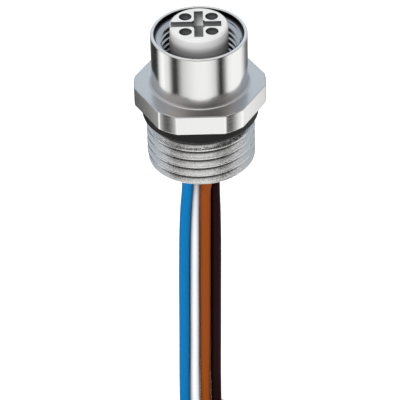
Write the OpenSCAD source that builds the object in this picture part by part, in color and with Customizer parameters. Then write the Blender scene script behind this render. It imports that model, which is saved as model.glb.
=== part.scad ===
// M12 panel receptacle, socket side, with single wires.
// Origin: centre of the panel's front face, where the flange seal bears.
// +Z points out of the mating mouth, -Y is the side that a flat of the hexagon faces.

/* [Housing, panel side] */
// Outside diameter of the M16 x 1.5 rear thread, over its crests
rear_thread_d = 15.9; // [15.7:0.05:15.95]
// Length of the rear thread behind the panel's front face
rear_thread_len = 7.8; // [6:0.1:14]
// Pitch of the rear thread
rear_pitch = 1.5; // [1:0.25:2]
// Chamfer at the end of the rear thread
rear_chamfer = 0.3; // [0.2:0.1:1]
// Diameter of the neck that the flange seal sits on
neck_d = 14.0; // [13:0.1:14.8]
// Bore from the rear, for the insulators and the potting
rear_bore_d = 11.8; // [11.6:0.1:12]

/* [Housing, flange] */
// Width of the hexagon across its flats
flange_af = 18; // [17:0.5:22]
// Diameter that the hexagon's corners are turned to
flange_d = 19.2; // [18.6:0.1:19.4]
// Thickness of the flange
flange_t = 3.1; // [2:0.1:5]
// Edge break on the turned corners
flange_edge = 0.15; // [0.05:0.05:0.4]

/* [Housing, collar] */
// Outside diameter of the collar
collar_d = 14.0; // [13.6:0.1:15]
// Height of the collar above the flange
collar_h = 8.4; // [7:0.1:12]
// Fillet where the collar meets the flange
collar_fillet = 0.4; // [0.1:0.1:0.8]
// Edge break round the collar's rim
rim_edge = 0.12; // [0.05:0.01:0.2]
// Diameter of the smooth mouth
mouth_d = 13.0; // [12.4:0.1:13.2]
// Depth of the smooth mouth
mouth_depth = 0.8; // [0.4:0.1:2]
// Length of the cone from the mouth into the M12 x 1 thread
lead_in = 0.4; // [0.3:0.1:1.5]
// Core diameter of the M12 x 1 coupling thread
coupling_core_d = 10.9; // [10.9:0.05:11.2]
// Pitch of the coupling thread
coupling_pitch = 1.0; // [0.75:0.25:1.25]
// Length of the relief where the coupling thread ends above the web
coupling_relief = 0.7; // [0.4:0.1:1.5]
// Thickness of the web that the contact carrier passes through
web_t = 1.5; // [1:0.1:2.5]
// Height of the web's front face above the flange's seat
web_top = 3.4; // [3:0.1:4.5]

/* [Flange seal] */
// Radial width of the seal, from the neck outwards
seal_w = 1.5; // [1.2:0.1:1.8]
// Height of the seal, unsqueezed
seal_t = 2.2; // [1.5:0.1:3]
// Radius on the seal's edges
seal_round = 0.45; // [0.1:0.05:0.6]

/* [Contact carrier] */
// Diameter of the shank that enters the mating plug
shank_d = 8.5; // [8.1:0.1:8.8]
// Diameter of the shank's root, where it passes through the web
root_d = 9.0; // [8.9:0.1:9.4]
// How far the shank stands out of the collar's rim
shank_proud = 1.5; // [0:0.1:2.5]
// Radius on the edge of the mating face
face_round = 0.35; // [0.1:0.05:0.6]
// Thickness of the carrier's rear collar
carrier_collar_t = 2.4; // [1.5:0.1:3]
// Width of the cross-shaped coding slot
slot_w = 1.3; // [0.8:0.05:1.5]
// Reach of the slot's three closed arms from the centre
slot_reach = 3.25; // [2.5:0.05:3.6]
// Depth of the coding slot
slot_depth = 2.5; // [1:0.1:4]
// Chamfer on the four corners where the slot's arms meet
hub_chamfer = 0.35; // [0.1:0.05:0.5]
// Radius on the two corners where the open arm leaves the shank
slot_flare = 0.6; // [0.2:0.05:0.8]
// Width of the key that stops the carrier turning
key_w = 1.6; // [1:0.1:2.5]
// Height of that key
key_h = 0.45; // [0.3:0.05:0.6]

/* [Contacts] */
// Pitch circle of the four contacts
contact_pcd = 5.35; // [5:0.05:5.5]
// Diameter of the entry hole over each contact
entry_d = 1.85; // [1.6:0.05:2]
// Outside diameter of a socket contact
contact_d = 2.2; // [2.2:0.05:2.4]
// Bore of a socket contact
contact_bore_d = 1.45; // [1.2:0.05:1.6]
// Depth of that bore
contact_bore_depth = 6.0; // [4:0.5:8]
// Width of the slots between a contact's tines
tine_slot_w = 0.25; // [0.15:0.05:0.4]
// Length of the tines
tine_len = 4.0; // [2:0.5:6]
// Diameter of the shoulder that locates the contact
shoulder_d = 2.7; // [2.4:0.1:3]
// Thickness of that shoulder
shoulder_t = 0.8; // [0.4:0.1:1.2]
// Diameter of the solder cup
cup_d = 1.7; // [1.4:0.1:2]
// Bore of the solder cup
cup_bore_d = 1.0; // [0.9:0.1:1.3]
// Length of the solder cup behind the rear insulator
cup_len = 2.0; // [1:0.1:3]
// Depth of the solder cup's bore
cup_depth = 2.6; // [1.5:0.1:3]

/* [Rear insulator and potting] */
// Thickness of the rear insulator
rear_insulator_t = 2.0; // [1.2:0.1:3]
// How far the potting stays below the housing's rear end
potting_recess = 0.6; // [0.2:0.1:1.5]

/* [Carrier seal] */
// Thickness of the seal ring between the web and the carrier's collar
carrier_seal_t = 1.0; // [0.8:0.1:1.4]

/* [Wires] */
// Outside diameter of a wire
wire_d = 1.65; // [1.4:0.05:1.65]
// Diameter of its stranded conductor
conductor_d = 0.8; // [0.6:0.05:0.9]
// Length of conductor that is stripped and tinned at the free end
strip_len = 5; // [3:0.5:8]
// Gap between the solder cup and the wire's insulation, inside the potting
strip_gap = 0.8; // [0.4:0.1:1.5]

/* [Hank] */
// Bend radius at the hank's folds
fold_r = 5; // [4.5:0.1:5]
// How far each fold's centre lies to its own side of the hank's middle
fold_offset = 1.25; // [1:0.05:1.25]
// Distance between neighbouring wires across the hank's flat side
wire_step = 1.66; // [1.66:0.01:1.7]
// Distance between neighbouring runs under the tie
run_gap = 1.75; // [1.7:0.05:1.9]
// Distance between the outermost run and the fold beside it
lead_gap = 1.95; // [1.8:0.05:2]
// Distance between the centres of the hank's two folds
hank_run = 28; // [24:1:33]
// Height of the hank's upper fold centre, below the panel's front face
hank_drop = 66; // [66:1:80]
// Length of the insulated tails below the hank's lower fold centre
tail_len = 16; // [10:1:30]

/* [Tie] */
// Width of the tie round the hank
tie_w = 2.5; // [2:0.1:4]
// Thickness of the tie
tie_t = 0.9; // [0.6:0.1:1.2]
// Slack between the tie and the wires
tie_gap = 0.15; // [0.05:0.05:0.3]
// Width of the tie's head
head_w = 3.2; // [2.5:0.1:4]
// Height of the tie's head
head_h = 3.0; // [2.8:0.1:4.5]
// Thickness of the tie's head
head_t = 2.2; // [1.5:0.1:2.6]

/* [Fits] */
// Radial clearance of a moulded part in its bore
moulded_fit = 0.05; // [0.03:0.01:0.1]
// Radial clearance left round the hand-filled potting and what it holds
potting_fit = 0.02; // [0.01:0.01:0.05]

/* [Hidden] */
$fn = 96;
tiny = 0.01;

// Thread form: width of the crests and depth of the grooves, in shares of the pitch
flank_angle = 30;
shaft_crest = 1 / 8;
shaft_depth = 0.6134;
bore_crest = 1 / 4;
bore_depth = 0.5413;

// Heights of the housing
flange_z0 = seal_t;
flange_z1 = flange_z0 + flange_t;
rim_z = flange_z1 + collar_h;
web_z1 = flange_z0 + web_top;
web_z0 = web_z1 - web_t;
coupling_z1 = rim_z - mouth_depth - lead_in;
coupling_z0 = web_z1 + coupling_relief;
coupling_turns = floor((coupling_z1 - coupling_z0) / coupling_pitch);
rear_turns = floor(rear_thread_len / rear_pitch);

// Heights of what the housing holds
face_z = rim_z + shank_proud;
slot_z = face_z - slot_depth;
lip_t = 0.2;
contact_play = 0.02;
slot_run_out = 1;
chamber_z = slot_z - lip_t;
carrier_z1 = web_z0 - carrier_seal_t;
carrier_z0 = carrier_z1 - carrier_collar_t;
insulator_z0 = carrier_z0 - rear_insulator_t;
cup_z = insulator_z0 - cup_len;
jacket_z = cup_z - strip_gap;
potting_z = potting_recess - rear_thread_len;

// Contact places, in the order front left, back left, front right, back right
contact_xy = contact_pcd / 2 * sqrt(0.5);
CONTACT_AT = [[-1, -1], [-1, 1], [1, -1], [1, 1]] * contact_xy;
contact_z = chamber_z - contact_play;

// The wires hang from their contacts and gather side by side: blue, white, brown and black.
// Each row: height, how far gathered (0 to 1), middle of the four in x, their spacing,
// how far alternate wires stand forward or back, and how far all four stand forward.
wire_sides = 8;
DROP = [
    [-9, 0, 0, 0, 0, 0],
    [-10.5, 0.25, -0.2, 1.35, 0.55, 0],
    [-12, 0.7, -0.2, 1.35, 0.55, 0],
    [-13.5, 0.95, -0.2, 1.35, 0.55, 0],
    [-15, 1, -0.25, 1.38, 0.5, 0],
    [-18, 1, -0.35, 1.48, 0.4, 0],
    [-22, 1, -0.45, 1.56, 0.3, 0],
    [-27, 1, -0.55, 1.6, 0.25, 0],
    [-32, 1, -0.65, 1.62, 0.25, 0],
    [-38, 1, -0.75, 1.63, 0.2, 0],
    [-44, 1, -0.85, 1.64, 0.2, 0],
    [-49, 1, -0.95, 1.65, 0.15, 0.1],
    [-53, 1, -1, 1.66, 0.1, 0.5],
    [-56, 1, -1, 1.66, 0.05, 1.3],
    [-59, 1, -0.8, 1.66, 0, 2.8],
    [-62, 1, -0.4, 1.66, 0, 4.7]
];

// The hank: the wires side by side in x, folded twice in y and gathered by the tie
hank_z1 = -hank_drop;
hank_z0 = hank_z1 - hank_run;
hank_mid = (hank_z0 + hank_z1) / 2;
lead_y = fold_r - fold_offset + lead_gap;
hank_w = 3 * wire_step + wire_d;
waist_y = run_gap + wire_d / 2;
flank_y = fold_r + fold_offset + wire_d / 2;
tail_z = hank_z0 - tail_len;
waist_steps = 16;

function wire_x(i) = (i - 1.5) * wire_step;
function ease(t) = (1 - cos(180 * t)) / 2;
function flank(t) = waist_y + (flank_y - waist_y) * ease(abs(2 * t - 1));

// Ring of points round a route point, square to the direction that the route takes there
function unit(v) = v / norm(v);
function heading(path, i) = unit(path[min(i + 1, len(path) - 1)] - path[max(i - 1, 0)]);
function side_of(h) = unit(cross(h, [0, 1, 0]));
function ring(p, h, r, n) = let (u = side_of(h), v = cross(h, u))
    [for (k = [0 : n - 1]) p + r * (u * cos(360 * k / n) + v * sin(360 * k / n))];

// Closed tube swept along a route
module tube(path, d, n) {
    points = [for (i = [0 : len(path) - 1]) each ring(path[i], heading(path, i), d / 2, n)];
    last = (len(path) - 1) * n;
    sides = [for (i = [0 : len(path) - 2]) for (k = [0 : n - 1])
        [i * n + k, i * n + (k + 1) % n, (i + 1) * n + (k + 1) % n, (i + 1) * n + k]];
    near_end = [for (k = [n - 1 : -1 : 0]) k];
    far_end = [for (k = [0 : n - 1]) last + k];
    polyhedron(points = points, faces = concat([near_end], sides, [far_end]), convexity = 4);
}

// Place of wire i at one row of DROP
function drop_point(i, row) = let (
    gathered = [row[2] + (i - 1.5) * row[3], (i % 2 == 0 ? -row[4] : row[4]) - row[5]],
    p = (1 - row[1]) * CONTACT_AT[i] + row[1] * gathered)
    [p.x, p.y, row[0]];

// Route of wire i from inside the potting to the top of the hank
function drop_route(i) = concat(
    [[CONTACT_AT[i].x, CONTACT_AT[i].y, jacket_z], [CONTACT_AT[i].x, CONTACT_AT[i].y, potting_z]],
    [for (row = DROP) drop_point(i, row)],
    [[wire_x(i), -lead_y, hank_z1 + wire_d], [wire_x(i), -lead_y, hank_z1]]);

// Section of a ring with rounded edges, for rotate_extrude
module ring_section(r_in, r_out, z0, z1, round_r) {
    translate([r_in + round_r, z0])
        square([r_out - r_in - 2 * round_r, z1 - z0]);
    translate([r_in, z0 + round_r])
        square([r_out - r_in, z1 - z0 - 2 * round_r]);
    for (r = [r_in + round_r, r_out - round_r])
        for (z = [z0 + round_r, z1 - round_r])
            translate([r, z])
                circle(r = round_r, $fn = 32);
}

// Straight hole or rod between two heights
module rod(d, z0, z1) {
    translate([0, 0, z0])
        cylinder(d = d, h = z1 - z0);
}

module at_contacts() {
    for (p = CONTACT_AT)
        translate([p.x, p.y, 0])
            children();
}

// Grooves of a thread, one to a turn, from a height downwards: way is -1 into a shaft and 1 into
// the wall of a bore. They stand for the helix, so the crests stay round walls of the real size.
module thread_grooves(r, pitch, crest, depth, way, z_top, turns) {
    mouth = pitch * (1 - crest) / 2;
    root = mouth - pitch * depth * tan(flank_angle);
    r_open = r - way * tiny;
    r_root = r + way * pitch * depth;
    for (k = [0 : turns - 1])
        translate([0, 0, z_top - (k + 0.5) * pitch])
            rotate_extrude()
                polygon([[r_open, -mouth], [r, -mouth], [r_root, -root],
                    [r_root, root], [r, mouth], [r_open, mouth]]);
}

// Housing: one turned part with a hexagonal flange
module rear_thread_blank() {
    rod(rear_thread_d, rear_chamfer - rear_thread_len, 0);
    translate([0, 0, -rear_thread_len])
        cylinder(d1 = rear_thread_d - 2 * rear_chamfer, d2 = rear_thread_d, h = rear_chamfer);
}

module flange() {
    intersection() {
        translate([0, 0, flange_z0])
            cylinder(d = flange_af / cos(30), h = flange_t, $fn = 6);
        rotate_extrude()
            polygon([[0, flange_z0], [flange_d / 2 - flange_edge, flange_z0],
                [flange_d / 2, flange_z0 + flange_edge], [flange_d / 2, flange_z1 - flange_edge],
                [flange_d / 2 - flange_edge, flange_z1], [0, flange_z1]]);
    }
}

module collar_base_fillet() {
    rotate_extrude()
        difference() {
            translate([collar_d / 2 - tiny, flange_z1 - tiny])
                square(collar_fillet + tiny);
            translate([collar_d / 2 + collar_fillet, flange_z1 + collar_fillet])
                circle(r = collar_fillet, $fn = 48);
        }
}

module collar() {
    rod(collar_d, flange_z1 - tiny, rim_z - rim_edge);
    translate([0, 0, rim_z - rim_edge])
        cylinder(d1 = collar_d, d2 = collar_d - 2 * rim_edge, h = rim_edge);
}

module front_cavity() {
    rod(mouth_d, rim_z - mouth_depth, rim_z + tiny);
    translate([0, 0, coupling_z1])
        cylinder(d1 = coupling_core_d, d2 = mouth_d, h = lead_in);
    rod(coupling_core_d, web_z1, rim_z);
    rod(coupling_core_d + 2 * bore_depth * coupling_pitch, web_z1, coupling_z0);
    thread_grooves(coupling_core_d / 2, coupling_pitch, bore_crest, bore_depth, 1,
        coupling_z1, coupling_turns);
}

module keyway(grow, z0, z1) {
    translate([-key_w / 2 - grow, 0, z0])
        cube([key_w + 2 * grow, rear_bore_d / 2 + key_h + grow, z1 - z0]);
}

module housing() {
    color("lightgray")
        difference() {
            union() {
                rear_thread_blank();
                rod(neck_d, -tiny, flange_z0 + tiny);
                flange();
                collar();
                collar_base_fillet();
            }
            front_cavity();
            thread_grooves(rear_thread_d / 2, rear_pitch, shaft_crest, shaft_depth, -1,
                0, rear_turns);
            rod(root_d + 2 * moulded_fit, web_z0 - tiny, web_z1 + tiny);
            rod(rear_bore_d, -rear_thread_len - tiny, web_z0);
            keyway(moulded_fit, -rear_thread_len - tiny, carrier_z1 + moulded_fit);
        }
}

// Flange seal: a ring on the neck, between the flange and the end of the thread
module panel_seal() {
    color("#1d1f21")
        rotate_extrude()
            ring_section(neck_d / 2, neck_d / 2 + seal_w, 0, seal_t, seal_round);
}

// Rounded corners at the mouth of the slot's open arm
module slot_mouth() {
    mouth_x = slot_flare - shank_d / 2;
    for (side = [0, 1])
        mirror([0, side])
            difference() {
                translate([-shank_d / 2 - slot_run_out, 0])
                    square([slot_run_out + slot_flare, slot_w / 2 + slot_flare]);
                translate([mouth_x, slot_w / 2 + slot_flare])
                    circle(r = slot_flare, $fn = 32);
            }
}

// Cross-shaped coding slot with one arm open through the side of the shank
module coding_slot() {
    translate([0, 0, slot_z])
        linear_extrude(slot_depth + tiny) {
            translate([-slot_w / 2, -slot_reach])
                square([slot_w, 2 * slot_reach]);
            translate([-shank_d / 2 - slot_run_out, -slot_w / 2])
                square([shank_d / 2 + slot_run_out + slot_reach, slot_w]);
            rotate(45)
                square((slot_w + hub_chamfer) * sqrt(2), center = true);
            slot_mouth();
        }
}

module shank() {
    rod(root_d, carrier_z1 - tiny, web_z1);
    rod(shank_d, web_z1 - tiny, face_z - face_round);
    rotate_extrude() {
        translate([0, face_z - face_round - tiny])
            square([shank_d / 2 - face_round, face_round + tiny]);
        translate([shank_d / 2 - face_round, face_z - face_round])
            circle(r = face_round, $fn = 32);
    }
}

module contact_carrier() {
    color("gainsboro")
        difference() {
            union() {
                shank();
                rod(rear_bore_d - 2 * moulded_fit, carrier_z0, carrier_z1);
                intersection() {
                    keyway(0, carrier_z0, carrier_z1);
                    rod(rear_bore_d + 2 * key_h, carrier_z0, carrier_z1);
                }
            }
            coding_slot();
            at_contacts() {
                rod(entry_d, chamber_z - tiny, face_z + tiny);
                rod(contact_d + 2 * moulded_fit, carrier_z0 - tiny, chamber_z);
                rod(shoulder_d + 2 * moulded_fit, carrier_z0 - tiny, carrier_z0 + shoulder_t);
            }
        }
}

// Seal ring squeezed between the web and the carrier's collar
module carrier_seal() {
    color("#1d1f21")
        rotate_extrude()
            ring_section(root_d / 2 + moulded_fit, rear_bore_d / 2 - moulded_fit,
                carrier_z1, web_z0, carrier_seal_t / 2 - tiny);
}

// Rear insulator: traps the shoulders of the contacts
module rear_insulator() {
    color("silver")
        difference() {
            rod(rear_bore_d - 2 * moulded_fit, insulator_z0, carrier_z0);
            at_contacts()
                rod(cup_d + 2 * moulded_fit, insulator_z0 - tiny, carrier_z0 + tiny);
        }
}

// Turned socket contact: four tines in front, a shoulder, and a solder cup behind
module socket_contact(i) {
    translate([CONTACT_AT[i].x, CONTACT_AT[i].y, 0])
        color("gold")
            difference() {
                union() {
                    rod(contact_d, carrier_z0, contact_z);
                    rod(shoulder_d, carrier_z0, carrier_z0 + shoulder_t);
                    rod(cup_d, cup_z, carrier_z0 + tiny);
                }
                rod(contact_bore_d, contact_z - contact_bore_depth, contact_z + tiny);
                rod(cup_bore_d, cup_z - tiny, cup_z + cup_depth);
                for (turn = [0, 90])
                    rotate(turn)
                        translate([-contact_d, -tine_slot_w / 2, contact_z - tine_len])
                            cube([2 * contact_d, tine_slot_w, tine_len + tiny]);
            }
}

// Potting: seals the rear of the housing round the wires
module potting() {
    color("#26282a")
        difference() {
            rod(rear_bore_d - 2 * potting_fit, potting_z, insulator_z0);
            at_contacts() {
                rod(cup_d + 2 * potting_fit, cup_z, insulator_z0 + tiny);
                rod(conductor_d + 2 * potting_fit, jacket_z - tiny, cup_z + tiny);
                rod(wire_d + 2 * potting_fit, potting_z - tiny, jacket_z);
            }
        }
}

// Conductor: the end in the solder cup and the tinned free end of one wire
module conductor(i) {
    color("silver") {
        translate([CONTACT_AT[i].x, CONTACT_AT[i].y, 0])
            rod(conductor_d, jacket_z, cup_z + cup_depth);
        translate([wire_x(i), lead_y, 0])
            rod(conductor_d, tail_z - strip_len, tail_z);
    }
}

// Wire: the insulated stretch above the hank, and the tail below it
module wire(i) {
    tube(drop_route(i), wire_d, wire_sides);
    tube([[wire_x(i), lead_y, hank_z0], [wire_x(i), lead_y, tail_z]], wire_d, wire_sides);
}

// Hank: one closed outline round the folded wires, waisted where the tie holds them
module wire_hank() {
    right = [for (k = [0 : waist_steps])
        [flank(k / waist_steps), hank_z0 + hank_run * k / waist_steps]];
    left = [for (k = [waist_steps : -1 : 0]) [-right[k].x, right[k].y]];
    color("dimgray")
        rotate([90, 0, 90])
            translate([0, 0, -hank_w / 2])
                linear_extrude(hank_w)
                    union() {
                        polygon(concat(right, left));
                        translate([fold_offset, hank_z1])
                            circle(r = fold_r + wire_d / 2);
                        translate([-fold_offset, hank_z0])
                            circle(r = fold_r + wire_d / 2);
                    }
}

// Tie round the waist of the hank, with its head on the front
module wire_tie() {
    in_x = hank_w / 2 + tie_gap;
    in_y = waist_y + tie_gap;
    color("black")
        difference() {
            union() {
                translate([-in_x - tie_t, -in_y - tie_t, hank_mid - tie_w / 2])
                    cube([2 * (in_x + tie_t), 2 * (in_y + tie_t), tie_w]);
                translate([-head_w / 2, -in_y - head_t, hank_mid - head_h / 2])
                    cube([head_w, head_t, head_h]);
            }
            translate([-in_x, -in_y, hank_mid - head_h])
                cube([2 * in_x, 2 * in_y, 2 * head_h]);
        }
}

housing();
panel_seal();
contact_carrier();
carrier_seal();
rear_insulator();
socket_contact(0);  // socket_contact_1
socket_contact(1);  // socket_contact_2
socket_contact(2);  // socket_contact_3
socket_contact(3);  // socket_contact_4
potting();
conductor(0);  // conductor_blue
conductor(1);  // conductor_white
conductor(2);  // conductor_brown
conductor(3);  // conductor_black
color("#0579b5") wire(0);  // wire_blue
color("whitesmoke") wire(1);  // wire_white
color("#96481a") wire(2);  // wire_brown
color("#2a1216") wire(3);  // wire_black
wire_hank();
wire_tie();
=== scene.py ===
import math

import bmesh
import bpy
from mathutils import Matrix, Vector


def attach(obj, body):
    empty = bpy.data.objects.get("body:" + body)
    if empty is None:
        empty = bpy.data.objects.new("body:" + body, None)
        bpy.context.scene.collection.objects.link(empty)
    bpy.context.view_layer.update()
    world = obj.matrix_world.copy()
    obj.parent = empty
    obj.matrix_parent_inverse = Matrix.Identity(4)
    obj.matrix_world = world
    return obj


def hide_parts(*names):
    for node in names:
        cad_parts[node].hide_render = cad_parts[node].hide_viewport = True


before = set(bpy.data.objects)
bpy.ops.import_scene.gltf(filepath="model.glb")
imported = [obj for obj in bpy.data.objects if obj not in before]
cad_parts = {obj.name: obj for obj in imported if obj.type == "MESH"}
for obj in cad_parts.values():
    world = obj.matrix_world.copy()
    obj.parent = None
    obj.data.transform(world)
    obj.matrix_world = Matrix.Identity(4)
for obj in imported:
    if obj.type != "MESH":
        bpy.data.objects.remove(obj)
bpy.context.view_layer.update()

scene = bpy.context.scene
MM = 0.001
TURN = 2 * math.pi
# Steps round a turned piece, and the angle past which an edge is crisp
STEPS = 144
CREASE = math.radians(35)

# ---------------------------------------------------------------- sizes, in mm
# Housing, from the rear end up
REAR_R, REAR_LEN = 7.95, 7.8
REAR_CHAMFER, REAR_TOP_CHAMFER = 0.3, 0.35
NECK_R, BORE_R, BORE_STEPS = 7.0, 5.9, 138
KEYWAY_HALF, KEYWAY_Y, KEYWAY_Z = 0.85, 6.4, 3.15
FLANGE_Z0, FLANGE_Z1, FLANGE_EDGE = 2.2, 5.3, 0.13
FLANGE_AF, FLANGE_R, CORNER_STEPS = 18.0, 9.6, 8
FLAT_HALF = math.acos(FLANGE_AF / 2 / FLANGE_R)
WEB_Z0, WEB_Z1, WEB_R = 4.1, 5.6, 4.55
WEB_FILLET, WEB_EDGE, WEB_REAR_EDGE, BORE_FILLET = 0.15, 0.1, 0.05, 0.1
# Above the web the bore is clear of thread for a stretch, and the thread runs out over a steep cone
THREAD_RELIEF, RUN_OUT = 0.7, 1.6
CORE_R, LEAD_IN = 5.45, 0.4
MOUTH_R, MOUTH_DEPTH, MOUTH_EDGE, MOUTH_FILLET = 6.5, 0.8, 0.1, 0.06
COLLAR_R, COLLAR_FILLET, COLLAR_FOOT = 7.0, 0.4, 0.6
RIM_Z, RIM_EDGE = 13.7, 0.14
# Threads: pitch, crest and root radius, crest and root width, and the height of a crest at +X
REAR_THREAD = dict(pitch=1.5, crest=REAR_R, root=7.03, crest_w=0.19, root_w=0.25, crest_z=-7.125)
COUPLING = dict(pitch=1.0, crest=CORE_R, root=5.991, crest_w=0.25, root_w=0.125, crest_z=11.0)
# Contact carrier: heights of its face, the slot's floor, the depth to which the entries show and
# their low end, and radii of the entries and of the shank inside its edge
FACE_Z, SLOT_Z, ENTRY_Z, ENTRY_LOW = 15.2, 12.7, 12.5, 10
ENTRY_R, SHANK_INSIDE, CARRIER_EDGE = 1.0, 4.1, 0.07
# Seal
SEAL_R, SEAL_EDGE, SEAL_LIP = 8.5, 0.42, 0.1
# How far off a face or an edge may lie and still be the one that is looked for
NEAR, HAIR = 0.1, 0.01
# Wires and their strands
WIRE_D, CONDUCTOR_R, STRIP = 1.65, 0.4, 5.0
STRAND_R, STRAND_LAY, STRAND_COUNT = 0.133, 6.5, 7
# The strands start inside the insulation, and their slanted ends stop short of the stripped length
STRAND_IN, STRAND_SHORT = 0.4, 0.06
JACKET_Z, POTTING_Z, CUP_Z = -4.1, -7.2, -0.7
CONTACT_XY = 5.35 / 2 * math.sqrt(0.5)
CONTACT_AT = [(-CONTACT_XY, -CONTACT_XY), (-CONTACT_XY, CONTACT_XY),
              (CONTACT_XY, -CONTACT_XY), (CONTACT_XY, CONTACT_XY)]
COLOURS = ["blue", "white", "brown", "black"]
# Hank
FOLD_R, FOLD_OFFSET, WIRE_STEP, RUN_GAP, LEAD_GAP = 5.0, 1.25, 1.66, 1.75, 1.95
HANK_Z1, HANK_Z0, TAIL_Z = -66.0, -94.0, -110.0
LEAD_Y = FOLD_R - FOLD_OFFSET + LEAD_GAP
# Height, how far gathered, middle in x, spacing, stagger, how far forward
DROP = [
    (-9, 0, 0, 0, 0, 0), (-10.5, 0.25, -0.2, 1.35, 0.55, 0), (-12, 0.7, -0.2, 1.35, 0.55, 0),
    (-13.5, 0.95, -0.2, 1.35, 0.55, 0), (-15, 1, -0.25, 1.38, 0.5, 0),
    (-18, 1, -0.35, 1.48, 0.4, 0), (-22, 1, -0.45, 1.56, 0.3, 0), (-27, 1, -0.55, 1.6, 0.25, 0),
    (-32, 1, -0.65, 1.62, 0.25, 0), (-38, 1, -0.75, 1.63, 0.2, 0), (-44, 1, -0.85, 1.64, 0.2, 0),
    (-49, 1, -0.95, 1.65, 0.15, 0.1), (-53, 1, -1, 1.66, 0.1, 0.5), (-56, 1, -1, 1.66, 0.05, 1.3),
    (-59, 1, -0.8, 1.66, 0, 2.8), (-62, 1, -0.4, 1.66, 0, 4.7)]


# ---------------------------------------------------------------- materials
def srgb(code):
    """Linear colour from a hex code."""
    parts = [int(code[i:i + 2], 16) / 255 for i in (1, 3, 5)]
    return tuple(c / 12.92 if c <= 0.04045 else ((c + 0.055) / 1.055) ** 2.4 for c in parts) + (1,)


def connect(tree, node, **inputs):
    """Sets inputs by name, or by number as i0, i1 and so on. A value is set as it is, a node gives
    its first output, and a (node, output name) pair that output."""
    for key, value in inputs.items():
        socket = node.inputs[int(key[1:]) if key[1:].isdigit() else key.replace("_", " ")]
        if isinstance(value, bpy.types.Node):
            value = (value, 0)
        if isinstance(value, tuple) and isinstance(value[0], bpy.types.Node):
            tree.links.new(value[0].outputs[value[1]], socket)
        else:
            socket.default_value = value


def add(tree, kind, settings=None, **inputs):
    """Adds a node with its settings and inputs."""
    node = tree.nodes.new(kind)
    for key, value in (settings or {}).items():
        setattr(node, key, value)
    connect(tree, node, **inputs)
    return node


def surface(name, colour, **inputs):
    """A material with one principled shader; returns it, its tree and its shader."""
    mat = bpy.data.materials.new(name)
    mat.use_nodes = True
    tree = mat.node_tree
    shader = tree.nodes["Principled BSDF"]
    connect(tree, shader, Base_Color=srgb(colour), **inputs)
    return mat, tree, shader


def fill_ramp(band, stops):
    """Gives a colour ramp its (place, linear colour) stops."""
    while len(band.elements) < len(stops):
        band.elements.new(1)
    for element, (where, colour) in zip(band.elements, stops):
        element.position = where
        element.color = colour


def grain(tree, size_mm, stretch=(1, 1, 1), detail=2.0):
    """Noise in the object's own space, with features of a real size."""
    place = add(tree, "ShaderNodeTexCoord")
    scaled = add(tree, "ShaderNodeMapping", Vector=(place, "Object"), Scale=stretch)
    return add(tree, "ShaderNodeTexNoise", Vector=scaled, Scale=1 / (size_mm * MM), Detail=detail)


def polar(tree):
    """Radius and height in the object's own space, each as a (node, output name) pair."""
    place = add(tree, "ShaderNodeTexCoord")
    parts = add(tree, "ShaderNodeSeparateXYZ", Vector=(place, "Object"))
    flat = add(tree, "ShaderNodeCombineXYZ", X=(parts, "X"), Y=(parts, "Y"))
    radius = add(tree, "ShaderNodeVectorMath", {"operation": "LENGTH"}, i0=flat)
    return (radius, "Value"), (parts, "Z")


def turning_marks(tree, pitch_mm):
    """Noise that only changes with radius and height, as a lathe tool leaves it. A real cut is finer:
    the rings are drawn as coarse as they need to be to show."""
    radius, height = polar(tree)
    section = add(tree, "ShaderNodeCombineXYZ", X=radius, Y=height)
    return add(tree, "ShaderNodeTexNoise", {"noise_dimensions": "2D"}, Vector=section,
               Scale=1 / (pitch_mm * MM), Detail=1.0)


def shade(tree, shader, along, start_mm, end_mm, stops):
    """Paints light and shade into the shader's colour by (place, hex colour) stops between two radii or
    heights.
    """
    part = add(tree, "ShaderNodeMapRange", Value=along, From_Min=start_mm * MM, From_Max=end_mm * MM)
    tint = add(tree, "ShaderNodeValToRGB", Fac=part)
    fill_ramp(tint.color_ramp, [(where, srgb(colour)) for where, colour in stops])
    connect(tree, shader, Base_Color=tint)


def nickel_turned():
    # Bright nickel over turned brass: sharp bands, with edges broken by handling and by fine rings
    # round the axis, and a duller foot to the collar and flange face where the cutter dwelt
    mat, tree, shader = surface("nickel_plate_turned", "#d6d6d5", Metallic=1.0, Roughness=0.2)
    rings = turning_marks(tree, 0.09)
    handled = add(tree, "ShaderNodeMath", {"operation": "MULTIPLY_ADD"},
                  i0=grain(tree, 0.22, detail=3.0), i1=4.0, i2=rings)
    radius, height = polar(tree)
    fine = add(tree, "ShaderNodeMapRange", Value=rings, To_Min=0.12, To_Max=0.2)
    foot = add(tree, "ShaderNodeMapRange", Value=height, From_Min=(FLANGE_Z1 + 2.1) * MM,
               From_Max=(FLANGE_Z1 + 0.9) * MM, To_Max=0.17)
    wall = add(tree, "ShaderNodeMapRange", Value=radius, From_Min=(COLLAR_R + 0.35) * MM,
               From_Max=(COLLAR_R + 0.1) * MM, To_Min=0.55)
    dull = add(tree, "ShaderNodeMath", {"operation": "MULTIPLY_ADD"}, i0=foot, i1=wall, i2=fine)
    connect(tree, shader, Roughness=dull,
            Normal=add(tree, "ShaderNodeBump", Height=handled, Strength=0.25, Distance=0.004 * MM))
    return mat


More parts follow.
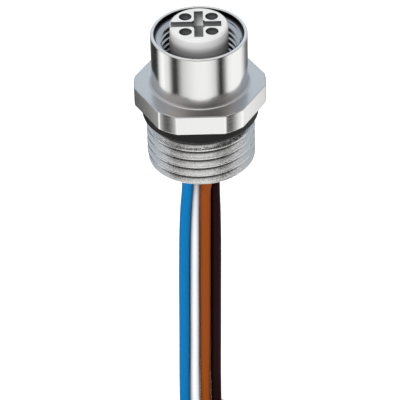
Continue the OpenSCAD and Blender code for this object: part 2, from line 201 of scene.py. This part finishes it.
def nickel_thread():
    # Nickel over cut flanks, with light and shade painted into its colour: a painted highlight pale on
    # the flanks and painted shade dark down in the roots, so each crest shows as a light line with a
    # dark one under it, with a grain drawn coarser than the cut leaves
    mat, tree, shader = surface("nickel_plate_thread_painted_shade", "#e2e2e1", Metallic=1.0, Roughness=0.3)
    shade(tree, shader, polar(tree)[0], NECK_R, NECK_R + 1,
          [(0, "#5c5c5d"), (0.2, "#848485"), (0.34, "#dadad9"), (0.85, "#ececeb"), (0.93, "#c4c4c3"),
           (1, "#bababa")])
    grit = grain(tree, 0.4, (1, 1, 1.8), 4.0)
    connect(tree, shader,
            Normal=add(tree, "ShaderNodeBump", Height=grit, Strength=1.0, Distance=0.07 * MM),
            Roughness=add(tree, "ShaderNodeMapRange", Value=grit, To_Min=0.14, To_Max=0.36))
    return mat


def nickel_corner():
    # Nickel over the hexagon's turned corners: coarse rings from a quick cut, so the bands break up
    mat, tree, shader = surface("nickel_plate_corner", "#dcdcdb", Metallic=1.0, Roughness=0.28)
    rings = turning_marks(tree, 0.2)
    connect(tree, shader,
            Normal=add(tree, "ShaderNodeBump", Height=rings, Strength=0.5, Distance=0.013 * MM),
            Roughness=add(tree, "ShaderNodeMapRange", Value=rings, To_Min=0.14, To_Max=0.3))
    return mat


def nickel_faced():
    # Nickel over the faced rim: a thin ring, the palest of the metal
    mat, tree, shader = surface("nickel_plate_faced", "#f4f0ea", Metallic=1.0, Roughness=0.22)
    connect(tree, shader, Normal=add(tree, "ShaderNodeBump", Height=turning_marks(tree, 0.06),
                                     Strength=0.2, Distance=0.003 * MM))
    return mat


def nickel_bored():
    # Nickel in the bored mouth, which sees little but metal, with painted shade: near black up the wall,
    # pale on the shoulder
    mat, tree, shader = surface("nickel_plate_bored_painted_shade", "#808080", Metallic=1.0, Roughness=0.24)
    shade(tree, shader, polar(tree)[0], MOUTH_R - 0.6, MOUTH_R,
          [(0, "#d0d2d4"), (0.35, "#c4c7ca"), (0.65, "#4a4c4e"), (1, "#1a1b1c")])
    connect(tree, shader, Normal=add(tree, "ShaderNodeBump", Height=turning_marks(tree, 0.08),
                                     Strength=0.2, Distance=0.004 * MM))
    return mat


def nickel_flat():
    # Nickel over the drawn flats of the hexagon: smoother, with faint lines along the axis, which
    # are drawn wider than real so that they show
    mat, tree, shader = surface("nickel_plate_drawn", "#d6d6d5", Metallic=1.0, Roughness=0.22)
    lines = grain(tree, 0.12, (1, 1, 0.3), 3.0)
    connect(tree, shader,
            Normal=add(tree, "ShaderNodeBump", Height=lines, Strength=0.35, Distance=0.005 * MM),
            Roughness=add(tree, "ShaderNodeMapRange", Value=lines, To_Min=0.16, To_Max=0.3))
    return mat


def polyester(name, colour, strength, **inputs):
    # Injection moulded polyester with the fine spark finish of its tool: a matt, even skin
    mat, tree, shader = surface(name, colour, **inputs)
    connect(tree, shader, Normal=add(tree, "ShaderNodeBump", Height=grain(tree, 0.06),
                                     Strength=strength, Distance=0.004 * MM))
    return mat, tree, shader


def carrier_plastic():
    # The carrier's outside, with light and shade painted into its colour: the face painted white as if lit,
    # a painted shade greyer down the side and grey where it stands deep in the mouth
    mat, tree, shader = polyester("polyester_moulded_painted_shade", "#d9dadb", 0.15, Roughness=0.5,
                                  Specular_IOR_Level=0.2)
    shade(tree, shader, polar(tree)[1], FACE_Z, SLOT_Z,
          [(0, "#f3f3f3"), (0.015, "#d6d6d6"), (0.4, "#cfcfcf"), (0.54, "#c8c8c8"), (0.68, "#b0afaf"),
           (0.81, "#979696"), (0.94, "#7e7c7d")])
    return mat


def carrier_recess():
    # The coding slot's walls and floor, in painted shade: deep grey at the mouth, paler towards the floor,
    # palest just above it
    mat, tree, shader = polyester("polyester_recess_painted_shade", "#808080", 0.2, Roughness=0.7,
                                  Specular_IOR_Level=0.1)
    shade(tree, shader, polar(tree)[1], FACE_Z, SLOT_Z,
          [(0, "#38393a"), (0.2, "#5e5f60"), (0.4, "#8a8b8c"), (0.8, "#d2d2d2"), (0.985, "#ececec"),
           (1, "#959596")])
    return mat


def carrier_entry():
    # Down the contact entries, in painted shade: dark, a little paler halfway down
    mat, tree, shader = polyester("polyester_entry_painted_shade", "#505050", 0.2, Roughness=0.6,
                                  Specular_IOR_Level=0.1)
    shade(tree, shader, polar(tree)[1], FACE_Z, ENTRY_Z,
          [(0, "#303132"), (0.12, "#3c3d3e"), (0.35, "#606162"), (0.55, "#404142"), (1, "#2e2f30")])
    return mat


def insulator_plastic():
    # The rear insulator's grey, seen only through gaps
    return polyester("polyester_grey", "#a9abad", 0.15, Roughness=0.5)[0]


def rubber():
    # Moulded nitrile: soft dark sheen with a faint skin
    mat, tree, shader = surface("nitrile_moulded", "#0b0c0d", Roughness=0.55, Specular_IOR_Level=0.2)
    connect(tree, shader, Normal=add(tree, "ShaderNodeBump", Height=grain(tree, 0.12),
                                     Strength=0.3, Distance=0.01 * MM))
    return mat


def gold():
    # Flash gold on turned brass: warm glint down in the entries
    mat, tree, shader = surface("gold_plate", "#e3b767", Metallic=1.0, Roughness=0.22)
    connect(tree, shader, Normal=add(tree, "ShaderNodeBump", Height=turning_marks(tree, 0.08),
                                     Strength=0.2, Distance=0.003 * MM))
    return mat


def resin():
    # Cast epoxy: near black and glossy, with a slightly wavy free surface
    mat, tree, shader = surface("epoxy_cast", "#17191b", Roughness=0.18)
    connect(tree, shader, Normal=add(tree, "ShaderNodeBump", Height=grain(tree, 1.6, detail=0.0),
                                     Strength=0.4, Distance=0.05 * MM))
    return mat


def tinned():
    # Tinned copper strands: grey metal, softly bright
    mat, tree, shader = surface("tinned_copper", "#c2c3c4", Metallic=1.0, Roughness=0.32)
    connect(tree, shader, Normal=add(tree, "ShaderNodeBump", Height=grain(tree, 0.05),
                                     Strength=0.3, Distance=0.004 * MM))
    return mat


def pvc(name, colour):
    # Extruded PVC insulation: satin, with faint streaks along the wire, and painted shade darkening the
    # colour where wires meet
    mat, tree, shader = surface(f"pvc_{name}", colour, Roughness=0.42, Specular_IOR_Level=0.03)
    streaks = grain(tree, 0.1, (1, 1, 0.06))
    # Painted shade: ambient occlusion darkens the colour where wires meet
    contact_shade = add(tree, "ShaderNodeAmbientOcclusion", {"samples": 8}, Color=srgb(colour),
                Distance=1.2 * MM)
    connect(tree, shader, Base_Color=contact_shade,
            Normal=add(tree, "ShaderNodeBump", Height=streaks, Strength=0.2, Distance=0.004 * MM))
    return mat


def nylon():
    # Moulded nylon tie: black, satin
    mat, tree, shader = surface("nylon_moulded", "#1a1b1c", Roughness=0.4)
    connect(tree, shader, Normal=add(tree, "ShaderNodeBump", Height=grain(tree, 0.08),
                                     Strength=0.2, Distance=0.004 * MM))
    return mat


# The thread's and the bored mouth's plating have shade painted into their colour
PLATING = [nickel_turned(), nickel_flat(), nickel_thread(), nickel_corner(), nickel_faced(), nickel_bored()]
TURNED, FLAT, THREAD, CORNER, FACED, BORED = range(6)
# One polyester three times: its outside, and the slot and the entries in darker painted shade
POLYESTER = [carrier_plastic(), carrier_recess(), carrier_entry()]
OUTSIDE, RECESS, ENTRY = range(3)
RUBBER, INSULATOR = rubber(), insulator_plastic()
GOLD, RESIN, TIN, NYLON = gold(), resin(), tinned(), nylon()
PVC = {"blue": pvc("blue", "#00659d"), "white": pvc("white", "#d8d9dc"),
       "brown": pvc("brown", "#803c0e"), "black": pvc("black", "#190709")}


# ---------------------------------------------------------------- helpers for pieces
def as_mesh(name, bm):
    """The finished bmesh as a mesh."""
    mesh = bpy.data.meshes.new(name)
    bm.to_mesh(mesh)
    bm.free()
    return mesh


def put(name, data):
    """A new object in the scene."""
    obj = bpy.data.objects.new(name, data)
    scene.collection.objects.link(obj)
    return obj


def merge(bm):
    """Joins points that meet and drops faces without area."""
    bmesh.ops.remove_doubles(bm, verts=bm.verts[:], dist=2e-7)
    bmesh.ops.dissolve_degenerate(bm, edges=bm.edges[:], dist=1e-7)


def piece(name, bm, materials, nodes):
    """Turns a bmesh into a piece on the root body, with crisp edges where faces meet sharply."""
    merge(bm)
    bmesh.ops.recalc_face_normals(bm, faces=bm.faces[:])
    for face in bm.faces:
        face.smooth = True
    for edge in bm.edges:
        if len(edge.link_faces) != 2 or edge.calc_face_angle(0) > CREASE:
            edge.smooth = False
    mesh = as_mesh(name, bm)
    for mat in materials:
        mesh.materials.append(mat)
    obj = put(name, mesh)
    weighted = obj.modifiers.new("weighted_normals", "WEIGHTED_NORMAL")
    weighted.keep_sharp = True
    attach(obj, "root")
    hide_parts(*nodes)
    return obj


def rounded(corners, arc_steps=4):
    """Profile through (radius, height, fillet) corners, with each fillet as an arc."""
    out = []
    for i, (r, z, fillet) in enumerate(corners):
        here = Vector((r, z))
        if not fillet or i in (0, len(corners) - 1):
            out.append((r, z))
            continue
        back = (Vector(corners[i - 1][:2]) - here).normalized()
        ahead = (Vector(corners[i + 1][:2]) - here).normalized()
        half = back.angle(ahead) / 2
        centre = here + (back + ahead).normalized() * (fillet / math.sin(half))
        start = here + back * (fillet / math.tan(half)) - centre
        end = here + ahead * (fillet / math.tan(half)) - centre
        first = math.atan2(start.y, start.x)
        sweep = (math.atan2(end.y, end.x) - first + math.pi) % TURN - math.pi
        for k in range(arc_steps + 1):
            angle = first + sweep * k / arc_steps
            out.append((centre.x + fillet * math.cos(angle), centre.y + fillet * math.sin(angle)))
    return out


def lathe(bm, profile, steps=STEPS, climb=0):
    """Spins a profile of (radius, height) points a full turn; a climb makes it a screw."""
    verts = [bm.verts.new((r * MM, 0, z * MM)) for r, z in profile]
    edges = [bm.edges.new(pair) for pair in zip(verts, verts[1:])]
    bmesh.ops.spin(bm, geom=verts + edges, cent=(0, 0, 0), axis=(0, 0, 1), angle=TURN,
                   dvec=(0, 0, climb * MM / steps), steps=steps, use_merge=climb == 0,
                   use_normal_flip=False, use_duplicate=False)


def thread_form(pitch, crest, root, crest_w, root_w, crest_z):
    """One pitch of a thread as (distance along the axis, radius) points, crest to crest, with the
    corners of crest and root softened over 0.12 of a flank."""
    flank = (pitch - crest_w - root_w) / 2
    top, foot = crest_w / 2, crest_w / 2 + flank
    soft = 0.12 * flank
    fall = soft * (root - crest) / flank
    down = [(top - soft, crest), (top + soft * 0.3, crest + fall * 0.15),
            (top + soft * 1.5, crest + fall * 1.3), (foot - soft * 1.5, root - fall * 1.3),
            (foot - soft * 0.2, root - fall * 0.2), (foot + soft, root)]
    return [(0, crest)] + down + [(pitch / 2, root)] + [(pitch - s, r) for s, r in reversed(down)]


def thread(bm, spec, z0, z1, limit):
    """A helical surface between two heights; limit(radius, height) trims it to the ends' chamfers."""
    form, pitch = thread_form(**spec), spec["pitch"]
    base = z0 - pitch - (z0 - pitch - spec["crest_z"]) % pitch
    turns = math.ceil((z1 - base) / pitch)

    def radius_at(angle, z):
        along = (z - base - pitch * angle / TURN) % pitch
        for (s0, r0), (s1, r1) in zip(form, form[1:] + [(pitch, form[0][1])]):
            if along <= s1:
                return r0 + (r1 - r0) * (along - s0) / (s1 - s0)
        return form[0][1]

    before = set(bm.verts)
    lathe(bm, [(r, base + k * pitch + s) for k in range(turns + 1) for s, r in form], climb=pitch)
    for v in set(bm.verts) - before:
        angle = math.atan2(v.co.y, v.co.x) % TURN
        if TURN - angle < 1e-5:
            angle = 0.0
        r, z = math.hypot(v.co.x, v.co.y) / MM, v.co.z / MM
        if z < z0 or z > z1:
            z = min(max(z, z0), z1)
            r = radius_at(angle, z)
        r = limit(r, z)
        v.co = (r * MM * math.cos(angle), r * MM * math.sin(angle), z * MM)


def lift(bm, geom, height):
    """Moves the points of an extrusion up."""
    bmesh.ops.translate(bm, verts=[g for g in geom if isinstance(g, bmesh.types.BMVert)],
                        vec=(0, 0, height * MM))


def fill_between(bm, z, r_low, r_high):
    """Fills the flat ring between the open loops at one height that lie between two radii."""
    def inside(v):
        return abs(v.co.z / MM - z) < HAIR / 10 and r_low < math.hypot(v.co.x, v.co.y) / MM < r_high
    edges = [e for e in bm.edges if e.is_boundary and all(inside(v) for v in e.verts)]
    bmesh.ops.triangle_fill(bm, edges=edges, use_beauty=True, normal=(0, 0, 1))


# ---------------------------------------------------------------- housing
def flange_outline():
    """Points of the hexagon with its corners turned round."""
    arc = TURN / 6 - 2 * FLAT_HALF
    points = []
    for side in range(6):
        start = math.radians(-90 + 60 * side) + FLAT_HALF
        points += [(FLANGE_R * math.cos(start + arc * k / CORNER_STEPS),
                    FLANGE_R * math.sin(start + arc * k / CORNER_STEPS)) for k in range(CORNER_STEPS + 1)]
    return points


def add_flange(bm):
    """The flange's sides with their small edge radii, open above and below."""
    own = bmesh.new()
    outline = flange_outline()
    face = own.faces.new([own.verts.new((x * MM, y * MM, FLANGE_Z0 * MM)) for x, y in outline])
    lift(own, bmesh.ops.extrude_face_region(own, geom=[face])["geom"], FLANGE_Z1 - FLANGE_Z0)
    edges = [e for e in own.edges if abs(e.verts[0].co.z - e.verts[1].co.z) < 1e-9]
    bmesh.ops.bevel(own, geom=edges, offset=FLANGE_EDGE * MM, offset_type="OFFSET", segments=3,
                    profile=0.5, affect="EDGES", material=-1, clamp_overlap=True)
    caps = [f for f in own.faces if len(f.verts) == len(outline)]
    bmesh.ops.delete(own, geom=caps, context="FACES_ONLY")
    mesh = as_mesh("flange_part", own)
    bm.from_mesh(mesh)
    bpy.data.meshes.remove(mesh)


def rear_bore(bm):
    """The bore behind the web with its keyway, drawn at the rear end and pulled forward."""
    start = math.atan2(math.sqrt(BORE_R ** 2 - KEYWAY_HALF ** 2), KEYWAY_HALF)
    sweep = math.pi + 2 * start
    angles = [start - sweep * k / BORE_STEPS for k in range(BORE_STEPS + 1)]
    outline = [(BORE_R * math.cos(angle), BORE_R * math.sin(angle)) for angle in angles]
    outline += [(-KEYWAY_HALF, KEYWAY_Y), (KEYWAY_HALF, KEYWAY_Y)]
    loop = [bm.verts.new((x * MM, y * MM, -REAR_LEN * MM)) for x, y in outline]
    rim = [bm.edges.new(pair) for pair in zip(loop, loop[1:] + loop[:1])]
    lift(bm, bmesh.ops.extrude_edge_only(bm, edges=rim)["geom"], KEYWAY_Z + REAR_LEN)
    fill_between(bm, KEYWAY_Z, BORE_R - NEAR, KEYWAY_Y + NEAR)


def plating_of(face, mouth_foot):
    """Which finish of PLATING a face of the housing has; the mouth's cone ends at mouth_foot."""
    mid = face.calc_center_median() / MM
    reach = mid.to_2d().length
    upright = math.hypot(face.normal.x, face.normal.y) > 0.999
    if upright and reach > FLANGE_AF / 2 - NEAR and FLANGE_Z0 < mid.z < FLANGE_Z1:
        return CORNER if FLANGE_R - reach < 2 * HAIR else FLAT
    if HAIR - REAR_LEN < mid.z < -HAIR and reach > NECK_R - NEAR:
        return THREAD
    if mid.z > RIM_Z - NEAR:
        return FACED
    return BORED if mid.z > mouth_foot and COUPLING["root"] < reach < MOUTH_R + NEAR / 2 else TURNED


def mark_sharp(mesh):
    """Marks as sharp the rear end's edges and those where the hexagon's flats meet its corners."""
    for edge in mesh.edges:
        a, b = (mesh.vertices[i].co / MM for i in edge.vertices)
        from_flat = abs(math.atan2(a.y, a.x) % (TURN / 6) - TURN / 12)
        up_flange = abs(a.z - b.z) > 2 and a.to_2d().length > FLANGE_R - 2 * NEAR
        if max(a.z, b.z) < HAIR / 10 - REAR_LEN:
            edge.use_edge_sharp = True
        elif up_flange and abs(from_flat - FLAT_HALF) < math.radians(0.5):
            edge.use_edge_sharp = True


def housing():
    """The one-piece housing, with both threads cut."""
    bm = bmesh.new()
    # Collar, rim, mouth and the cone down to the coupling thread's roots
    cone_slope = (MOUTH_R - CORE_R) / LEAD_IN
    mouth_z = RIM_Z - MOUTH_DEPTH
    thread_z1 = mouth_z - (MOUTH_R - COUPLING["root"]) / cone_slope
    thread_z0 = WEB_Z1 + THREAD_RELIEF
    lathe(bm, rounded([
        (COLLAR_R + COLLAR_FOOT, FLANGE_Z1, 0), (COLLAR_R, FLANGE_Z1, COLLAR_FILLET),
        (COLLAR_R, RIM_Z, RIM_EDGE), (MOUTH_R, RIM_Z, MOUTH_EDGE), (MOUTH_R, mouth_z, MOUTH_FILLET),
        (COUPLING["root"], thread_z1, 0)]))

    def lead_limit(r, z):
        cone = MOUTH_R - (mouth_z - z) * cone_slope
        foot = COUPLING["root"] - (z - thread_z0) * RUN_OUT
        return max(r, min(cone, COUPLING["root"]), min(foot, COUPLING["root"]))

    thread(bm, COUPLING, thread_z0, thread_z1, lead_limit)
    # Relief under the thread, web, and the start of the bore behind it
    lathe(bm, rounded([
        (COUPLING["root"], thread_z0, 0), (COUPLING["root"], WEB_Z1, WEB_FILLET),
        (WEB_R, WEB_Z1, WEB_EDGE), (WEB_R, WEB_Z0, WEB_REAR_EDGE), (BORE_R, WEB_Z0, BORE_FILLET),
        (BORE_R, KEYWAY_Z, 0)]))
    merge(bm)
    rear_bore(bm)

    # Rear thread, chamfered at both ends
    def rear_limit(r, z):
        return min(r, REAR_R - REAR_CHAMFER + (z + REAR_LEN), REAR_R - REAR_TOP_CHAMFER - z)

    thread(bm, REAR_THREAD, -REAR_LEN, 0, rear_limit)
    merge(bm)
    fill_between(bm, -REAR_LEN, BORE_R - NEAR, REAR_R)
    # Neck under the seal, and the flange
    lathe(bm, [(NECK_R, 0), (NECK_R, FLANGE_Z0)])
    merge(bm)
    fill_between(bm, 0, NECK_R - NEAR, REAR_R)
    add_flange(bm)
    merge(bm)
    fill_between(bm, FLANGE_Z0, NECK_R - NEAR, FLANGE_R + NEAR)
    fill_between(bm, FLANGE_Z1, COLLAR_R, FLANGE_R + NEAR)
    bmesh.ops.recalc_face_normals(bm, faces=bm.faces[:])
    for face in bm.faces:
        face.material_index = plating_of(face, thread_z1)
    mark_sharp(piece("housing_body", bm, PLATING, ["housing"]).data)


# ---------------------------------------------------------------- insert and seal
def insert():
    """The contact carrier: its CAD form with the moulding's small edge radii."""
    bm = bmesh.new()
    bm.from_mesh(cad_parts["contact_carrier"].data)
    bmesh.ops.remove_doubles(bm, verts=bm.verts[:], dist=1e-6)
    bmesh.ops.dissolve_limit(bm, angle_limit=math.radians(0.5), verts=bm.verts[:], edges=bm.edges[:],
                             delimit={"NORMAL"})
    sharp = [e for e in bm.edges if len(e.link_faces) == 2 and e.calc_face_angle(0) > math.radians(50)
             and min(v.co.z for v in e.verts) > (SLOT_Z - NEAR) * MM]
    bmesh.ops.bevel(bm, geom=sharp, offset=CARRIER_EDGE * MM, offset_type="OFFSET", segments=2,
                    profile=0.5, affect="EDGES", material=-1, clamp_overlap=True)
    # The entries and the coding slot's walls and floor get the materials with painted shade
    for face in bm.faces:
        mid = face.calc_center_median() / MM
        flat = mid.to_2d()
        cut = abs(face.normal.z) < 0.5 or mid.z < SLOT_Z + NEAR
        nearest = min((flat - Vector(at)).length for at in CONTACT_AT)
        if nearest < ENTRY_R and ENTRY_LOW < mid.z < FACE_Z - HAIR:
            face.material_index = ENTRY
        elif cut and flat.length < SHANK_INSIDE and SLOT_Z - 4 * NEAR < mid.z < FACE_Z - 0.08:
            face.material_index = RECESS
        else:
            face.material_index = OUTSIDE
    piece("contact_insert", bm, POLYESTER, ["contact_carrier"])


def seal():
    """The flange seal, with its outer edges rounded."""
    bm = bmesh.new()
    middle = (NECK_R, FLANGE_Z0 / 2, 0)
    lathe(bm, rounded([middle, (NECK_R, 0, SEAL_LIP), (SEAL_R, 0, SEAL_EDGE),
                       (SEAL_R, FLANGE_Z0, SEAL_EDGE), (NECK_R, FLANGE_Z0, SEAL_LIP), middle], 6))
    piece("flange_seal", bm, [RUBBER], ["panel_seal"])


# ---------------------------------------------------------------- camera
def make_camera():
    """A long lens, looking down on the mouth from the -Y side."""
    elevation, distance, roll = math.radians(37.963), 0.4, math.radians(1.341)
    target = Vector((-0.384, 0, -16.636)) * MM
    data = bpy.data.cameras.new("camera")
    data.sensor_width = 36
    data.lens = 240.1
    data.clip_start, data.clip_end = 0.01, 20
    scene.camera = put("camera", data)
    back = Vector((0, -math.cos(elevation), math.sin(elevation)))
    turn = Matrix.Rotation(math.pi / 2 - elevation, 4, "X") @ Matrix.Rotation(-roll, 4, "Z")
    scene.camera.matrix_world = Matrix.Translation(target + back * distance) @ turn


make_camera()


# ---------------------------------------------------------------- wires
def wire_x(i):
    """Where wire i lies in the hank."""
    return (i - 1.5) * WIRE_STEP


def drop_point(i, row):
    """One point of wire i on its way down from the potting to the hank."""
    z, part, mid, step, stagger, forward = row
    x = mid + (i - 1.5) * step
    y = (-stagger if i % 2 == 0 else stagger) - forward
    cx, cy = CONTACT_AT[i]
    return ((1 - part) * cx + part * x, (1 - part) * cy + part * y, z)


def run(x, y_from, y_mid, y_to, z_from, z_to):
    """One run of the hank, gathered under the tie."""
    out, count = [], 7
    for k in range(1, count):
        t = k / count
        end, reach = (y_from, 1 - 2 * t) if t < 0.5 else (y_to, 2 * t - 1)
        out.append((x, y_mid + (end - y_mid) * (1 - math.cos(math.pi * reach)) / 2,
                    z_from + (z_to - z_from) * t))
    return out


def fold(x, mid_y, z, way):
    """One fold of the hank, from -Y to +Y; way is 1 over the top and -1 round the bottom."""
    count = 10
    return [(x, mid_y - FOLD_R * math.cos(math.pi * k / count),
             z + way * FOLD_R * math.sin(math.pi * k / count)) for k in range(count + 1)]


def wire_route(i):
    """Wire i from its contact to its free end."""
    x = wire_x(i)
    cx, cy = CONTACT_AT[i]
    route = [(cx, cy, JACKET_Z), (cx, cy, POTTING_Z)] + [drop_point(i, row) for row in DROP]
    route += [(x, -LEAD_Y, HANK_Z1 + WIRE_D), (x, -LEAD_Y, HANK_Z1)]
    route += run(x, -LEAD_Y, -RUN_GAP, -FOLD_OFFSET - FOLD_R, HANK_Z1, HANK_Z0)
    route += fold(x, -FOLD_OFFSET, HANK_Z0, -1)
    route += run(x, -FOLD_OFFSET + FOLD_R, 0, FOLD_OFFSET - FOLD_R, HANK_Z0, HANK_Z1)
    route += fold(x, FOLD_OFFSET, HANK_Z1, 1)
    route += run(x, FOLD_OFFSET + FOLD_R, RUN_GAP, LEAD_Y, HANK_Z1, HANK_Z0)
    return route + [(x, LEAD_Y, HANK_Z0), (x, LEAD_Y, (HANK_Z0 + TAIL_Z) / 2), (x, LEAD_Y, TAIL_Z)]


def tube(bm, points, radius, sides):
    """Sweeps a round section along points, by extruding its ring from one to the next."""
    def section(k):
        a, b = Vector(points[max(k - 1, 0)]), Vector(points[min(k + 1, len(points) - 1)])
        turn = (b - a).to_track_quat("Z", "Y").to_matrix().to_4x4()
        return Matrix.Translation(Vector(points[k]) * MM) @ turn

    ring = bmesh.ops.create_circle(bm, segments=sides, radius=radius * MM, cap_ends=True,
                                   matrix=section(0))["verts"]
    face = ring[0].link_faces[0]
    for k in range(1, len(points)):
        geom = bmesh.ops.extrude_face_region(bm, geom=[face])["geom"]
        if k > 1:
            bmesh.ops.delete(bm, geom=[face], context="FACES_ONLY")
        moved = [g for g in geom if isinstance(g, bmesh.types.BMVert)]
        bmesh.ops.transform(bm, matrix=section(k) @ section(k - 1).inverted(), verts=moved)
        face = [g for g in geom if isinstance(g, bmesh.types.BMFace)][0]


def strands(i):
    """The conductor: its end in the solder cup, and the twisted, tinned strands at the free end."""
    bm = bmesh.new()
    cx, cy = CONTACT_AT[i]
    tube(bm, [(cx, cy, JACKET_Z), (cx, cy, CUP_Z)], CONDUCTOR_R, 24)
    x, points, around = wire_x(i), 14, CONDUCTOR_R - STRAND_R
    length = STRIP + STRAND_IN - STRAND_SHORT
    for k in range(STRAND_COUNT):
        twist = [(x, LEAD_Y, TAIL_Z + STRAND_IN - s * length / points) for s in range(points + 1)]
        if k:
            start = k / (STRAND_COUNT - 1)
            twist = [(px + around * math.cos(TURN * (start + pz / STRAND_LAY)),
                      py + around * math.sin(TURN * (start + pz / STRAND_LAY)), pz)
                     for px, py, pz in twist]
        tube(bm, twist, STRAND_R, 8)
    name = COLOURS[i]
    return piece(f"conductor_strands_{name}", bm, [TIN], [f"conductor_{name}"])


def make_wire(i):
    """Wire i's insulation, as a cord, and its strands."""
    name = COLOURS[i]
    route = wire_route(i)
    data = bpy.data.curves.new(f"lead_{name}", "CURVE")
    data.dimensions = "3D"
    data.bevel_depth = WIRE_D / 2 * MM
    data.bevel_resolution = 6
    data.resolution_u = 4
    data.use_fill_caps = True
    spline = data.splines.new("BEZIER")
    spline.bezier_points.add(len(route) - 1)
    for point, place in zip(spline.bezier_points, route):
        point.co = Vector(place) * MM
        point.handle_left_type = point.handle_right_type = "AUTO"
    data.materials.append(PVC[name])
    obj = put(f"lead_{name}", data)
    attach(obj, "root")
    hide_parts(f"wire_{name}", "wire_hank")
    [strands(i), "wire_tie"] if i == 0 else [strands(i)]


for index in range(4):
    make_wire(index)


# ---------------------------------------------------------------- pieces
housing()
insert()
seal()
for node, mat in {"carrier_seal": RUBBER, "rear_insulator": INSULATOR, "potting": RESIN,
                  "wire_tie": NYLON, "socket_contact_1": GOLD, "socket_contact_2": GOLD,
                  "socket_contact_3": GOLD, "socket_contact_4": GOLD}.items():
    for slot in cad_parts[node].material_slots:
        slot.material = mat


# ---------------------------------------------------------------- studio
ROOM_R, ROOM_Z0, EYE_Z, ROOM_Z1 = 110, -230, -12, 260
FLOOR_Z, BEHIND = -125, 100
# What the plating reflects, as (azimuth, light) stops with 0 at the camera's side and +X at 90
# degrees: three bright boards with dark gaps below eye level, and above it a dark room on the
# camera's side and a pale wall behind
BELOW = [(-179, 0.5), (-165, 0.3), (-150, 0.06), (-125, 0.02), (-115, 0.04), (-106, 1.15),
         (-92, 1.5), (-78, 1.15), (-70, 0.45), (-65, 0.03), (-54, 0.02), (-48, 0.4), (-40, 0.85),
         (-24, 1.1), (-8, 1.26), (14, 1.28), (26, 1.15), (36, 0.9), (42, 0.3), (46, 0.0),
         (53, 0.0), (61, 0.5), (68, 1.2), (80, 1.33), (112, 1.28), (122, 0.88), (132, 0.4),
         (144, 0.14), (160, 0.24), (179, 0.5)]
ABOVE = [(-179, 0.86), (-168, 0.84), (-152, 0.6), (-110, 0.66), (-76, 0.66), (-48, 0.6), (-30, 0.32),
         (-15, 0.25), (10, 0.17), (30, 0.15), (48, 0.21), (62, 0.33), (76, 0.5), (110, 0.62),
         (152, 0.6), (168, 0.84), (179, 0.86)]


def reflected_only(name, bm, strength):
    """A glowing surface that only reflections show; returns its tree and its light."""
    mat = bpy.data.materials.new(name)
    mat.use_nodes = True
    tree = mat.node_tree
    tree.nodes.clear()
    light = add(tree, "ShaderNodeEmission", Color=srgb("#ffffff"), Strength=strength)
    add(tree, "ShaderNodeOutputMaterial", Surface=light)
    mesh = as_mesh(name, bm)
    mesh.materials.append(mat)
    obj = put(name, mesh)
    obj.visible_camera = obj.visible_diffuse = obj.visible_shadow = False
    obj.visible_transmission = obj.visible_volume_scatter = False
    return tree, light


def surround(name, z0, z1, stops, tint="#ffffff", behind="#ffffff"):
    """A wall round the part, tinted apart on the camera's side and behind. The gradient's value at
    azimuth 0, on the -Y side, is 0.25."""
    bm = bmesh.new()
    lathe(bm, [(ROOM_R, z0), (ROOM_R, z1)], 72)
    tree, light = reflected_only(name, bm, 1.0)
    place = add(tree, "ShaderNodeTexCoord")
    around = add(tree, "ShaderNodeTexGradient", {"gradient_type": "RADIAL"}, Vector=(place, "Object"))
    level = add(tree, "ShaderNodeValToRGB", Fac=around)
    places = []
    for azimuth, value in stops:
        hue = srgb(behind if abs(azimuth) > BEHIND else tint)
        places.append(((azimuth / 360 + 0.25) % 1, tuple(value * part for part in hue[:3]) + (1,)))
    fill_ramp(level.color_ramp, sorted(places))
    connect(tree, light, Color=level)


def overhead():
    """A bright disc over the part: it draws the thin light edges."""
    bm = bmesh.new()
    bmesh.ops.create_circle(bm, segments=48, radius=ROOM_R * MM, cap_ends=True,
                            matrix=Matrix.Translation((0, 0, ROOM_Z1 * MM)))
    reflected_only("overhead", bm, 1.15)


def make_floor():
    """The pale ground far below the flange, which glows a little so that it stays even."""
    bm = bmesh.new()
    bmesh.ops.create_grid(bm, x_segments=1, y_segments=1, size=6)
    mat = surface("floor_pale", "#fafafa", Roughness=0.9, Emission_Color=srgb("#ffffff"),
                  Emission_Strength=0.6)[0]
    mesh = as_mesh("floor", bm)
    mesh.materials.append(mat)
    obj = put("floor", mesh)
    obj.location.z = FLOOR_Z * MM


def key_light():
    """A soft light from high on the camera's left, for what isn't metal."""
    data = bpy.data.lights.new("key", "AREA")
    data.shape = "RECTANGLE"
    data.size = data.size_y = 0.25
    data.energy = 3.0
    obj = put("key", data)
    obj.location = (-0.12, -0.5, 0.36)
    obj.rotation_euler = (-obj.location).to_track_quat("-Z", "Y").to_euler()
    obj.visible_glossy = False


scene.world = bpy.data.worlds.new("studio")
scene.world.use_nodes = True
connect(scene.world.node_tree, scene.world.node_tree.nodes["Background"], Color=srgb("#ffffff"),
        Strength=0.5)
scene.view_settings.view_transform = "Standard"

make_floor()
surround("surround_low", ROOM_Z0, EYE_Z, BELOW)
surround("surround_high", EYE_Z, ROOM_Z1, ABOVE, tint="#fff6f4", behind="#e9f3ff")
overhead()
key_light()
